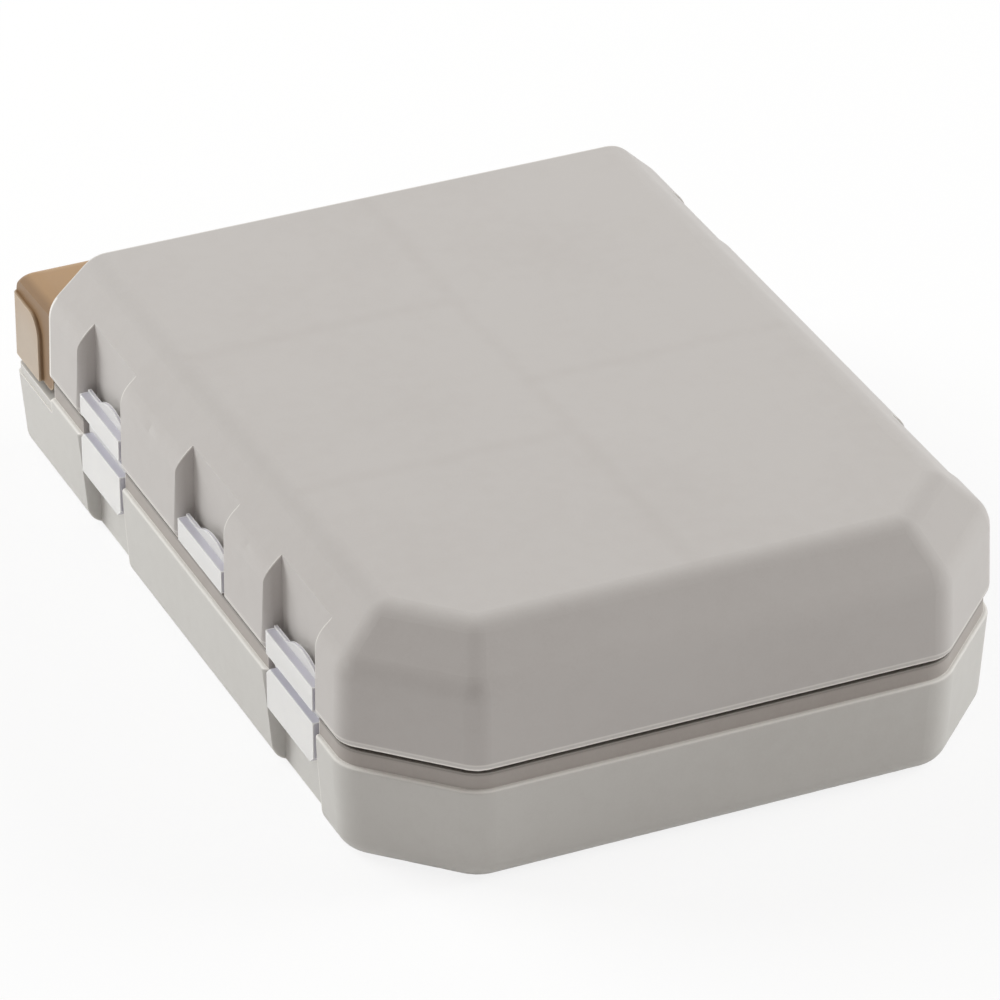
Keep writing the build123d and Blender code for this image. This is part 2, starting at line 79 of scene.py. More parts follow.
# %% Place the camera
CAMERA_TURN = radians(24.31)        # round the upright axis, from the near face to the left side
CAMERA_FALL = radians(30.79)        # how far it looks down
CAMERA_DISTANCE = 0.9345
CAMERA_AIM = Vector((0.0, -8.8, 18.85)) * MM
CAMERA_SENSOR = 36.0
CAMERA_LENS = 255.0
CAMERA_SHIFT = (-0.0358, 0.0007)
FURTHEST_SEEN = 10.0

look = Vector((
    sin(CAMERA_TURN) * cos(CAMERA_FALL),
    cos(CAMERA_TURN) * cos(CAMERA_FALL),
    -sin(CAMERA_FALL),
))
camera = bpy.data.objects.new("camera", bpy.data.cameras.new("camera"))
camera.data.sensor_width = CAMERA_SENSOR
camera.data.lens = CAMERA_LENS
camera.data.shift_x, camera.data.shift_y = CAMERA_SHIFT
camera.data.clip_end = FURTHEST_SEEN
camera.location = CAMERA_AIM - look * CAMERA_DISTANCE
camera.rotation_mode = "QUATERNION"
camera.rotation_quaternion = look.to_track_quat("-Z", "Y")
bpy.context.scene.collection.objects.link(camera)
bpy.context.scene.camera = camera
print("camera stands at, mm:", [round(value / MM) for value in camera.location])

# %% [markdown]
# ## Trees of nodes that read as maths
# Materials, the sky and Geometry Nodes are all trees of nodes. Written node by node it
# takes ten lines to add two numbers, so one small class wraps a socket and lets
# Python's own operators write the Math nodes. Every other node comes from one method,
# which sets the node's settings first and its sockets after, because a setting can
# change which sockets the node has.

# %% A socket with operators
class Reading:
    """One output of a tree. Operators on it write Math nodes."""

    def __init__(self, maker, socket):
        self.maker = maker
        self.socket = socket

    def __add__(self, other):
        return self.maker.maths("ADD", self, other)

    def __sub__(self, other):
        return self.maker.maths("SUBTRACT", self, other)

    def __rsub__(self, other):
        return self.maker.maths("SUBTRACT", other, self)

    def __mul__(self, other):
        return self.maker.maths("MULTIPLY", self, other)

    def __truediv__(self, other):
        return self.maker.maths("DIVIDE", self, other)

    def __abs__(self):
        return self.maker.maths("ABSOLUTE", self)

    __radd__ = __add__
    __rmul__ = __mul__

    def other(self, output):
        """Another output of the same node."""
        return Reading(self.maker, self.socket.node.outputs[output])


print("operators written as nodes:", "+ - * / abs")

# %% A maker of nodes
MIX_SHARE, MIX_FIRST, MIX_SECOND = 0, 6, 7      # the Mix node's sockets for colours
MIX_RESULT = 2


class Maker:
    """Makes and links the nodes of one tree."""

    def __init__(self, tree):
        self.tree = tree

    def node(self, kind, settings=None, inputs=None, output=0):
        """Any node: its type, its settings, then the values or links of its sockets."""
        made = self.tree.nodes.new(kind)
        for name, value in (settings or {}).items():
            setattr(made, name, value)
        for key, value in (inputs or {}).items():
            self.feed(made.inputs[key], value)
        return Reading(self, made.outputs[output] if made.outputs else None)

    def feed(self, socket, value):
        """Links a reading, or each of a list of them, or sets the socket's own value."""
        if isinstance(value, Reading):
            self.tree.links.new(value.socket, socket)
        elif isinstance(value, list):
            for reading in value:
                self.tree.links.new(reading.socket, socket)
        else:
            socket.default_value = value

    def maths(self, operation, *values):
        return self.node("ShaderNodeMath", {"operation": operation}, dict(enumerate(values)))

    def vector(self, x, y, z):
        return self.node("ShaderNodeCombineXYZ", inputs={"X": x, "Y": y, "Z": z})

    def mix(self, share, first, second):
        """Blend of two colours: all first at share 0, all second at share 1."""
        settings = {"data_type": "RGBA", "clamp_factor": True}
        inputs = {MIX_SHARE: share, MIX_FIRST: first, MIX_SECOND: second}
        return self.node("ShaderNodeMix", settings, inputs, output=MIX_RESULT)

    def seen_directly(self):
        """1 for what the camera sees, also by way of gloss or clear plastic, and 0 for plain light."""
        camera_ray = self.node("ShaderNodeLightPath", output="Is Camera Ray")
        glossy_ray = camera_ray.other("Is Glossy Ray")
        clear_ray = camera_ray.other("Is Transmission Ray")
        return self.maths("MAXIMUM", camera_ray, self.maths("MAXIMUM", glossy_ray, clear_ray))


print("colour sockets of the Mix node:", (MIX_FIRST, MIX_SECOND), "result:", MIX_RESULT)

# %% A finish is a maker that knows about surfaces
RIM_COVER = (0.14, 0.38)        # share of air behind the surface where an edge starts, and is full
RIM_SAMPLES = 12


class Finish(Maker):
    """A material under construction, with one Principled shader."""

    def __init__(self, name):
        self.material = bpy.data.materials.new(name)
        self.material.use_nodes = True
        super().__init__(self.material.node_tree)
        self.shader = self.tree.nodes["Principled BSDF"]

    def between(self, reading, start, full):
        """0 up to the start, 1 from full on, and a soft step between, upwards or downwards."""
        inputs = {"Value": reading, "From Min": start, "From Max": full}
        return self.node("ShaderNodeMapRange", {"interpolation_type": "SMOOTHSTEP"}, inputs)

    def point(self):
        """The point on the object, in metres."""
        return self.node("ShaderNodeTexCoord", output="Object")

    def axes(self, vector):
        """The x, y and z of a vector."""
        x = self.node("ShaderNodeSeparateXYZ", inputs={"Vector": vector}, output="X")
        return x, x.other("Y"), x.other("Z")

    def noise(self, point, scale, detail=2.0, roughness=0.5):
        """A reading from 0 to 1, about 0.5 on the whole; the scale is in spots to the metre."""
        inputs = {"Vector": point, "Scale": scale, "Detail": detail, "Roughness": roughness}
        return self.node("ShaderNodeTexNoise", inputs=inputs)

    def rim_light(self, reach):
        """1 on outer edges and 0 elsewhere, by how much air lies just behind the surface."""
        settings = {"samples": RIM_SAMPLES, "inside": True, "only_local": True}
        cover = self.node("ShaderNodeAmbientOcclusion", settings, {"Distance": reach}, output="AO")
        return self.between(1 - cover, *RIM_COVER)

    def surface(self, **sockets):
        """Values or readings for the shader's own sockets, named with underscores."""
        for name, value in sockets.items():
            self.feed(self.shader.inputs[name.replace("_", " ")], value)

    def relief(self, height, depth, strength):
        """Bump from a height of 0 to 1 that stands for a depth in metres."""
        inputs = {"Strength": strength, "Distance": depth, "Height": height}
        self.surface(Normal=self.node("ShaderNodeBump", inputs=inputs))


def srgb(red, green, blue):
    """A colour as a picture editor gives it, 0 to 255, turned into linear light."""
    shares = [value / 255 for value in (red, green, blue)]
    linear = [v / 12.92 if v <= 0.04045 else ((v + 0.055) / 1.055) ** 2.4 for v in shares]
    return (*linear, 1.0)


print("warm grey in linear light:", [round(value, 3) for value in srgb(195, 190, 186)[:3]])

# %% [markdown]
# ## The grey moulding
# The mould for such a case is spark-eroded, which leaves an even, very fine grain that
# keeps the plastic from shining. A picture of a grain could be laid on, but noise needs
# no unwrapping and keeps its size on every face. A fine noise makes the grain and two
# broad faint ones the cloudiness, because a moulded colour is never quite even.
#
# The case also has painted light and shade that belong to a place: painted highlights
# as thin pale lines along its edges and pale bands on the roundings that face the floor,
# painted shade on the rim set in below the lid with a painted shadow in the seam, and
# painted shade along a hair of a dip where the lid's top sank over each divider as it
# cooled. Those dips are the one hint of the compartments below. Masks made from the
# point's own x, y and z put each of them where it belongs.

# %% Masks for places on the case
CASE_HALF = 46.0 * MM           # half the case's width
NEAR_FACE = -64.0 * MM
CORNER_LEG = 13.2 * MM          # how much of each side the near corners' chamfers take
LID_FAR_END = 50.3 * MM
WALL_BAND = (-1.6 * MM, -1.3 * MM)      # how far in from the outline the outer wall starts
KNUCKLE_BAND = (0.5 * MM, 0.2 * MM)     # and how far out it ends, where the hinge stands proud


def line_at(finish, reading, place, width):
    """1 on a line, fading out to 0 at its sides."""
    return 1 - finish.between(abs(reading - place), 0.0, width)


def on_outer_wall(finish, x, y):
    """1 on the wall along the sides, corners and near face, and 0 inside and on the hinge."""
    side = abs(x) - CASE_HALF
    near = NEAR_FACE - y
    corner = (abs(x) - y - (CASE_HALF - NEAR_FACE - CORNER_LEG)) * sqrt(0.5)
    outside = finish.maths("MAXIMUM", finish.maths("MAXIMUM", side, near), corner)
    return finish.between(outside, *WALL_BAND) * finish.between(outside, *KNUCKLE_BAND)


print("case outline, mm:", [round(value / MM, 1) for value in (2 * CASE_HALF, -2 * NEAR_FACE)])

# %% Painted shade on the sunken lines of the lid's top
LID_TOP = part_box("lid_shell")[1].z
TOP_SKIN = 0.2 * MM             # how far below the top the lines fade out
SINK_WIDTH = 2.2 * MM
SPINE_MIDDLE = 0.6 * MM
LEFT_TO_RIGHT = (1.0 * MM, -1.0 * MM)   # where one column's dividers give way to the other's
DIVIDERS_LEFT = (-19.0 * MM, 19.0 * MM)
DIVIDER_RIGHT = -5.0 * MM


def sink_shade(finish, x, y, z):
    """Painted shade where the lid's top sinks over its dividers."""
    left = finish.between(x, *LEFT_TO_RIGHT)
    left_lines = [line_at(finish, y, divider, SINK_WIDTH) for divider in DIVIDERS_LEFT]
    across = (left_lines[0] + left_lines[1]) * left
    across = across + line_at(finish, y, DIVIDER_RIGHT, SINK_WIDTH) * (1 - left)
    along = line_at(finish, x, SPINE_MIDDLE, SINK_WIDTH)
    return (across + along) * finish.between(z, LID_TOP - TOP_SKIN, LID_TOP)


print("sunken lines lie at, mm:", round(LID_TOP / MM, 1))

# %% Painted shade on the rim, and the painted highlights
LEDGE_TOP = 14.2 * MM           # where the base's wall steps in to its rim
RIM_TOP = 16.6 * MM
LID_EDGE = 16.9 * MM            # lower edge of the lid's rim
LID_ROUND_TOP = 18.2 * MM       # where the rounding of the lid's lower edge ends
# where the painted shade on the base's rim starts and ends
RIM_STARTS = (LEDGE_TOP, LEDGE_TOP + 0.2 * MM)
RIM_ENDS = (RIM_TOP + 0.1 * MM, RIM_TOP)
# where the painted shadow in the seam lies
SEAM_BAND = (RIM_TOP - 0.5 * MM, RIM_TOP - 0.1 * MM)
# pale bands of painted light on the roundings that face the floor: the base's foot and the lid's lower
# edge
FOOT_BAND = (2.6 * MM, 0.4 * MM)
FOOT_SHARE = 0.25
LIP_BAND = (LID_ROUND_TOP + 0.1 * MM, LID_ROUND_TOP - 0.2 * MM)
LIP_SHARE = 0.16
# Place, half width and strength of each painted highlight line.
LID_EDGE_LINE = (LID_EDGE + 0.46 * MM, 0.44 * MM, 0.9)
LID_END_LINE = (LID_FAR_END - 0.3 * MM, 0.34 * MM, 0.8)
LID_ROUND_LINE = (LID_ROUND_TOP, 0.22 * MM, 0.4)
LEDGE_LINE = (LEDGE_TOP - 0.08 * MM, 0.24 * MM, 0.6)


def rim_shade(finish, z):
    """Painted shade: where the base's rim, set in below the lid, is made darker and browner, as shaded by
    the lid above.
    """
    return finish.between(z, *RIM_STARTS) * finish.between(z, *RIM_ENDS)


def pale_line(finish, reading, line):
    place, width, strength = line
    return line_at(finish, reading, place, width) * strength


def highlight_lines(finish, y, z, lid):
    """Painted highlights that run round a half: pale lines along the edges of the moulding, and pale
    bands on the roundings that face the floor.
    """
    if lid:
        lines = pale_line(finish, z, LID_EDGE_LINE) + pale_line(finish, y, LID_END_LINE)
        lines = lines + pale_line(finish, z, LID_ROUND_LINE)
        return lines + finish.between(z, *LIP_BAND) * LIP_SHARE
    return pale_line(finish, z, LEDGE_LINE) + finish.between(z, *FOOT_BAND) * FOOT_SHARE


print("seam between the halves, mm:", round((LID_EDGE - RIM_TOP) / MM, 1))

# %% Grained plastic for both halves
LID_GREY = srgb(193, 189, 186)
BASE_GREY = srgb(201, 199, 195)
CASE_SHADE = srgb(150, 140, 134)
# the pale colour of the painted highlights
CASE_HIGHLIGHT = srgb(245, 242, 237)
# the dark colour of the painted shadow in the seam
SEAM_SHADE = srgb(74, 66, 58)
GRAIN = {"scale": 2600.0, "detail": 3.0, "roughness": 0.6}
CLOUD = {"scale": 45.0, "detail": 1.0}
MOTTLE = {"scale": 420.0}
GRAIN_DEPTH = 0.02 * MM
GRAIN_STRENGTH = 0.3
CASE_ROUGHNESS = 0.46
CASE_ROUGHNESS_GAIN = 0.16      # what a grain of full height adds
CASE_GLOSS = 0.3
EDGE_REACH = 0.42 * MM
# How far each of these takes the grey towards the shade, or towards the painted highlight; the sink, rim
# and seam shares paint shade.
PLAIN_SHARE = 0.02
CLOUD_SHARE = 0.16
MOTTLE_SHARE = 0.12
GRAIN_SHARE = 0.14
SINK_SHARE = 0.055
RIM_SHARE = 0.66
SEAM_SHARE = 0.6
EDGE_SHARE = 0.6


def grained_case(name, lid):
    """The finish of one half."""
    finish = Finish(name)
    point = finish.point()
    x, y, z = finish.axes(point)
    on_wall = on_outer_wall(finish, x, y)
    grain = finish.noise(point, **GRAIN)
    cloud = finish.noise(point, **CLOUD)
    mottle = finish.noise(point, **MOTTLE)
    unevenness = (cloud - 0.5) * CLOUD_SHARE + (mottle - 0.5) * MOTTLE_SHARE + (0.5 - grain) * GRAIN_SHARE
    dark_share = unevenness + PLAIN_SHARE
    if lid:
        # painted shade on the sunken lines over the dividers
        dark_share = dark_share + sink_shade(finish, x, y, z) * SINK_SHARE
    else:
        # painted shade on the base's rim below the lid
        dark_share = dark_share + rim_shade(finish, z) * on_wall * RIM_SHARE
    shade = finish.mix(dark_share, LID_GREY if lid else BASE_GREY, CASE_SHADE)
    # painted highlights: pale on outer edges, and along the lines and bands of the outer wall
    highlight_share = finish.rim_light(EDGE_REACH) * EDGE_SHARE + highlight_lines(finish, y, z, lid) * on_wall
    shade = finish.mix(highlight_share, shade, CASE_HIGHLIGHT)
    if not lid:
        # painted shadow in the seam at the top of the base's rim
        seam_shadow = finish.between(z, *SEAM_BAND) * on_wall
        shade = finish.mix(seam_shadow * SEAM_SHARE, shade, SEAM_SHADE)
    roughness = grain * CASE_ROUGHNESS_GAIN + CASE_ROUGHNESS
    finish.surface(Base_Color=shade, Roughness=roughness, Specular_IOR_Level=CASE_GLOSS)
    finish.relief(grain, GRAIN_DEPTH, GRAIN_STRENGTH)
    return finish.material


case_finish = grained_case("grained_case", lid=False)
lid_finish = grained_case("grained_lid", lid=True)
print("case finishes:", case_finish.name, lid_finish.name)

# %% [markdown]
# ## The tan lever
# The lever is the same plastic in another colour, with a smoother, paler pad in each
# end where a thumb lands. The pad could be a second material on its own faces. Here a
# mask from the point's distance out to the side does it, because the pad is simply all
# that stands furthest out. A painted sheen makes it palest in its middle, fading
# outwards, and painted shade darkens the lever's face just beside it, as the shade of
# the pad's edge. The lever's outer edges get painted highlights.

# %% Tan plastic with a paler pad
LEVER_TAN = srgb(168, 137, 103)
LEVER_SHADE = srgb(112, 86, 60)
# the pale colour of the painted highlights on the lever's edges
LEVER_HIGHLIGHT = srgb(214, 196, 170)
PAD_TAN = srgb(185, 170, 153)
PAD_FACE = 45.7 * MM
PAD_STARTS = (PAD_FACE - 0.15 * MM, PAD_FACE + 0.15 * MM)
# the band of painted shade on the face beside the pad
BESIDE_PAD = (PAD_FACE - 1.8 * MM, PAD_FACE - 0.6 * MM)
# where the painted sheen on the pad is palest, and how it fades
PAD_MIDDLE = (59.0 * MM, 17.0 * MM)     # y and z where the pad is palest
PAD_FADES = (2.0 * MM, 11.0 * MM)
PAD_FADE_SHARE = 0.55
BESIDE_PAD_SHARE = 0.6
LEVER_PLAIN_SHARE = 0.04
LEVER_CLOUD_SHARE = 0.22
LEVER_GRAIN_SHARE = 0.2
LEVER_EDGE_SHARE = 0.4
LEVER_CLOUD_SCALE = 70.0
LEVER_ROUGHNESS = 0.42
LEVER_ROUGHNESS_GAIN = 0.15
PAD_SMOOTHER_BY = 0.06


def tan_lever():
    """The lever's finish."""
    finish = Finish("lever_plastic")
    point = finish.point()
    x, y, z = finish.axes(point)
    grain = finish.noise(point, **GRAIN)
    cloud = finish.noise(point, LEVER_CLOUD_SCALE)
    on_pad = finish.between(abs(x), *PAD_STARTS)
    # painted shade on the lever's face just beside the pad
    pad_edge_shade = finish.between(abs(x), *BESIDE_PAD) * (1 - on_pad)
    # painted sheen: the pad palest in its middle, fading outwards
    along, above = y - PAD_MIDDLE[0], z - PAD_MIDDLE[1]
    away = finish.maths("SQRT", along * along + above * above)
    pad_sheen = 1 - finish.between(away, *PAD_FADES) * PAD_FADE_SHARE
    shade = finish.mix(on_pad * pad_sheen, LEVER_TAN, PAD_TAN)
    unevenness = (cloud - 0.5) * LEVER_CLOUD_SHARE + (0.5 - grain) * LEVER_GRAIN_SHARE
    dark_share = unevenness + LEVER_PLAIN_SHARE + pad_edge_shade * BESIDE_PAD_SHARE
    shade = finish.mix(dark_share, shade, LEVER_SHADE)
    # painted highlights on the lever's outer edges
    shade = finish.mix(finish.rim_light(EDGE_REACH) * LEVER_EDGE_SHARE, shade, LEVER_HIGHLIGHT)
    roughness = grain * LEVER_ROUGHNESS_GAIN + LEVER_ROUGHNESS - on_pad * PAD_SMOOTHER_BY
    finish.surface(Base_Color=shade, Roughness=roughness)
    finish.relief(grain, GRAIN_DEPTH, GRAIN_STRENGTH)
    return finish.material


lever_finish = tan_lever()
print("lever finish:", lever_finish.name)

# %% [markdown]
# ## Clear plastic
# The flaps are thin clear plastic. Real clear plastic lets light through, is a little
# bluer where the eye looks along it, and shows itself by its bright edges, where the
# light that is trapped inside comes out. A shader that only transmits would be true,
# but it turns dark and noisy in many thin layers. So the shader transmits a part of
# the light, with a plain constant on that socket, and Alpha lets more of it through:
# much on the flat plates, little on the finger tabs. Faces that don't look to the side
# get the cooler tint of the plastic's depth, and the edges are whitened.

# %% Clear plastic
CLEAR_TINT = srgb(248, 247, 244)
CLEAR_DEPTH = srgb(208, 206, 220)
CLEAR_EDGE = srgb(255, 255, 254)
CLEAR_EDGE_REACH = 0.3 * MM
FLOW_SCALE = 260.0
HAZE_SCALE = 1500.0
FLOW_DEPTH = 0.04 * MM
FLOW_STRENGTH = 0.25
FLOW_SHARE = 0.16
OFF_FACE_SHARE = 0.75
TAB_STARTS = (43.4 * MM, 44.2 * MM)     # how far out to the side a flap becomes its tab
PLATE_ALPHA = 0.4
TAB_ALPHA_GAIN = 0.56
EDGE_ALPHA_GAIN = 0.3
CLEAR_ROUGHNESS = 0.08
HAZE_GAIN = 0.12
CLEAR_TRANSMISSION = 0.22
CLEAR_IOR = 1.49


def clear_plastic():
    """The finish of the flaps."""
    finish = Finish("clear_plastic")
    point = finish.point()
    out_to_side = abs(finish.axes(point)[0])
    facing = finish.node("ShaderNodeTexCoord", output="Normal")
    off_face = 1 - abs(finish.axes(facing)[0])
    flow = finish.noise(point, FLOW_SCALE, detail=1.0)
    haze = finish.noise(point, HAZE_SCALE)
    on_tab = finish.between(out_to_side, *TAB_STARTS)
    edge = finish.rim_light(CLEAR_EDGE_REACH)
    depth = finish.mix(flow * FLOW_SHARE + off_face * OFF_FACE_SHARE, CLEAR_TINT, CLEAR_DEPTH)
    finish.surface(
        Base_Color=finish.mix(edge, depth, CLEAR_EDGE),
        Roughness=haze * HAZE_GAIN + CLEAR_ROUGHNESS,
        Alpha=on_tab * TAB_ALPHA_GAIN + edge * EDGE_ALPHA_GAIN + PLATE_ALPHA,
        Transmission_Weight=CLEAR_TRANSMISSION,
        IOR=CLEAR_IOR,
    )
    finish.relief(flow, FLOW_DEPTH, FLOW_STRENGTH)
    return finish.material


clear_finish = clear_plastic()
print("clear finish:", clear_finish.name)

# %% [markdown]
# ## Drawn steel
# The rods and pins are drawn wire, and the die leaves fine streaks along them. A brush
# picture could be wrapped round, but a noise that is stretched along the wire looks
# the same and needs no unwrapping. The lever's pin lies across the case and the others
# along it, so there are two finishes that differ only in the way they are stretched.

# %% Drawn wire, lengthwise and crosswise
STREAK_STRETCH = 0.04
WIRE_STRETCH = {"along_y": (1.0, STREAK_STRETCH, 1.0), "along_x": (STREAK_STRETCH, 1.0, 1.0)}
STREAK_SCALE = 4000.0
STREAK_DEPTH = 0.02 * MM
STREAK_STRENGTH = 0.3
STEEL_ROUGHNESS = 0.2
STREAK_GAIN = 0.25
STEEL_DARK = srgb(150, 150, 152)
STEEL_BRIGHT = srgb(205, 205, 206)


def drawn_wire(direction):
    """The finish of a rod or pin that lies in this direction."""
    finish = Finish(f"drawn_wire_{direction}")
    inputs = {"Vector": finish.point(), "Scale": WIRE_STRETCH[direction]}
    stretched = finish.node("ShaderNodeMapping", inputs=inputs)
    streaks = finish.noise(stretched, STREAK_SCALE, detail=3.0)
    finish.surface(
        Base_Color=finish.mix(streaks, STEEL_DARK, STEEL_BRIGHT),
        Metallic=1.0,
        Roughness=streaks * STREAK_GAIN + STEEL_ROUGHNESS,
    )
    finish.relief(streaks, STREAK_DEPTH, STREAK_STRENGTH)
    return finish.material


wire_finish = drawn_wire("along_y")
cross_wire_finish = drawn_wire("along_x")
print("steel finishes:", wire_finish.name, cross_wire_finish.name)

# %% Give each solid its finish
FINISH_OF_SLOT = {
    "warm_grey_case": case_finish,
    "tan_lever": lever_finish,
    "clear_flap": clear_finish,
    "steel_pin": wire_finish,
}
OWN_FINISH = {"lid_shell": lid_finish, "latch_pin": cross_wire_finish}
slot_of_node = {part["node"]: part["material_slot"] for part in frame["record"]["subparts"]}
slots_filled = 0
for name, solid in frame["nodes"].items():
    for material_slot in solid.material_slots:
        material_slot.material = OWN_FINISH.get(name, FINISH_OF_SLOT[slot_of_node[name]])
        slots_filled += 1
print("solids:", len(frame["nodes"]), "material slots filled:", slots_filled)

# %% [markdown]
# ## The clear flaps, by rule
# Nine clear flaps lie over the compartments. They differ only in a few lengths, so
# they follow one rule, and Geometry Nodes hold such a rule well: one tree with the
# lengths as named inputs, and one modifier for each flap. The tree puts a flap
# together as a designer describes it: a plate with its near corner cut, a barrel that
# turns on the rod, a neck through the notch, the finger tab, and on an upper flap the
# arched ear behind the tab. Boolean nodes melt them into one closed body and bore the
# barrel. A Bevel breaks the moulded edges, which is what catches light on clear
# plastic. Copies of one mesh could not do this, because every notch differs.

# %% The tools of the flap tree
UPRIGHT = (0.0, 0.0, 0.0)
ROD_SIDES = 48


class FlapTree(Maker):
    """A Geometry Nodes tree with named number inputs."""

    def __init__(self, name, input_names):
        super().__init__(bpy.data.node_groups.new(name, "GeometryNodeTree"))
        self.ids = {}
        sockets = self.tree.interface
        sockets.new_socket("Geometry", in_out="OUTPUT", socket_type="NodeSocketGeometry")
        for input_name in input_names:
            socket = sockets.new_socket(input_name, in_out="INPUT", socket_type="NodeSocketFloat")
            self.ids[input_name] = socket.identifier
        self.inlet = self.node("NodeGroupInput")

    def size(self, name):
        """The reading of a named input."""
        return self.inlet.other(name)

    def cube(self, x, y, z):
        return self.node("GeometryNodeMeshCube", inputs={"Size": self.vector(x, y, z)})

    def block(self, xs, ys, zs):
        """A box from a pair of ends along each axis, in either order."""
        pairs = (xs, ys, zs)
        box = self.cube(*[abs(end - start) for start, end in pairs])
        return self.move(box, self.vector(*[(start + end) * 0.5 for start, end in pairs]))

    def rod(self, radius, length, middle, turn, sides=ROD_SIDES):
        inputs = {"Vertices": sides, "Radius": radius, "Depth": length}
        return self.move(self.node("GeometryNodeMeshCylinder", inputs=inputs), middle, turn)

    def move(self, piece, place, turn=UPRIGHT):
        inputs = {"Geometry": piece, "Translation": place, "Rotation": turn}
        return self.node("GeometryNodeTransform", inputs=inputs)

    def melt(self, pieces, operation="UNION"):
        """One closed body from several. A difference takes the rest away from the first."""
        settings = {"operation": operation, "solver": "EXACT"}
        if operation == "DIFFERENCE":
            inputs = {"Mesh 1": pieces[0], "Mesh 2": pieces[1:]}
        else:
            inputs = {"Mesh 2": pieces}
        return self.node("GeometryNodeMeshBoolean", settings, inputs, output="Mesh")

    def only_if(self, amount, piece, otherwise=None):
        """The piece where the amount is above 0."""
        inputs = {"Switch": amount, "True": piece}
        if otherwise:
            inputs["False"] = otherwise
        return self.node("GeometryNodeSwitch", {"input_type": "GEOMETRY"}, inputs)


print("flap tools ready:", FlapTree.__name__)

# %% The plate of a flap
FLAP_THICKNESS = 1.2 * MM
PLATE_ROOT = 4.0 * MM           # from the centreline to the plate's inner edge
PLATE_EDGE = 43.9 * MM          # from the centreline to its outer edge
EIGHTH_TURN = pi / 4
KNIFE_HEIGHT = 10.0 * MM


def flap_plate(grow, side, face, back):
    """The plate over a compartment, with one corner cut where the case's is."""
    near, far = grow.size("Near"), grow.size("Far")
    plain = grow.block((side * PLATE_ROOT, side * PLATE_EDGE), (near, far), (face, back))
    width = grow.size("Corner Cut") * sqrt(2)
    knife = grow.cube(width, width, KNIFE_HEIGHT)
    knife = grow.move(knife, grow.vector(side * PLATE_EDGE, near, face), (0.0, 0.0, EIGHTH_TURN))
    return grow.only_if(grow.size("Corner Cut"), grow.melt([plain, knife], "DIFFERENCE"), plain)


print("plate reaches out, mm:", round(PLATE_EDGE / MM, 1))

# %% The finger tab and its ear
TAB_BACK = 44.8 * MM
EAR_BACK = 44.35 * MM
KNIFE_LENGTH = 4.0 * MM
PAST = 1.0 * MM                 # how far a cutting body runs past what it cuts
ARCH_SIDES = 128
SIDEWAYS = (0.0, pi / 2, 0.0)


def flap_tab(grow, side, face):
    """The finger tab, with its upper far corner and lower near corner eased."""
    near, far = grow.size("Tab Near"), grow.size("Tab Far")
    low, high = face + grow.size("Tab Start"), face + grow.size("Tab End")
    plain = grow.block((side * TAB_BACK, side * CASE_HALF), (near, far), (low, high))
    width = grow.size("Tab Ease") * sqrt(2)
    knife = grow.cube(KNIFE_LENGTH, width, width)
    knives = [
        grow.move(knife, grow.vector(side * TAB_BACK, along, height), (EIGHTH_TURN, 0.0, 0.0))
        for along, height in ((far, low), (near, high))
    ]
    return grow.only_if(grow.size("Tab Ease"), grow.melt([plain, *knives], "DIFFERENCE"), plain)


def flap_ear(grow, side, face):
    """The arched ear: a low strip with a round rise on it."""
    near, far = grow.size("Tab Near"), grow.size("Tab Far")
    top = face + grow.size("Tab End") + grow.size("Ear Step")
    length = far - near
    start = near + length * grow.size("Ear Near Share")
    end = far - length * grow.size("Ear Far Share")
    rise = grow.size("Ear Rise") - grow.size("Ear Step")
    radius = ((end - start) * (end - start) * 0.25 + rise * rise) / (rise * 2)
    across = side * ((EAR_BACK + TAB_BACK) / 2)
    middle = grow.vector(across, (start + end) * 0.5, top + rise - radius)
    disc = grow.rod(radius, TAB_BACK - EAR_BACK, middle, SIDEWAYS, sides=ARCH_SIDES)
    window = grow.block(
        (side * (EAR_BACK - PAST), side * (TAB_BACK + PAST)),
        (start, end),
        (face + PAST, top + rise + PAST),
    )
    arch = grow.melt([disc, window], "INTERSECT")
    strip = grow.block((side * EAR_BACK, side * TAB_BACK), (near, far), (face, top))
    return grow.only_if(grow.size("Ear Rise"), grow.melt([strip, arch]))


print("ear is, mm thick:", round((TAB_BACK - EAR_BACK) / MM, 2))

# %% Plant the flap tree
PARTING = 16.75 * MM
FACE_SETBACK = 0.55 * MM        # from the parting plane to a flap's outer face
PIVOT_OUT = 2.4 * MM
PIVOT_DEPTH = 1.6 * MM
BARREL_RADIUS = 1.3 * MM
BORE_RADIUS = 0.78 * MM
LENGTHWAYS = (pi / 2, 0.0, 0.0)
SAME_POINT = 0.002 * MM
FLAP_SIZES = (
    "Side", "Up", "Near", "Far", "Corner Cut", "Barrel Near", "Barrel Far",
    "Tab Near", "Tab Far", "Tab Start", "Tab End", "Tab Ease",
    "Ear Rise", "Ear Step", "Ear Near Share", "Ear Far Share",
)


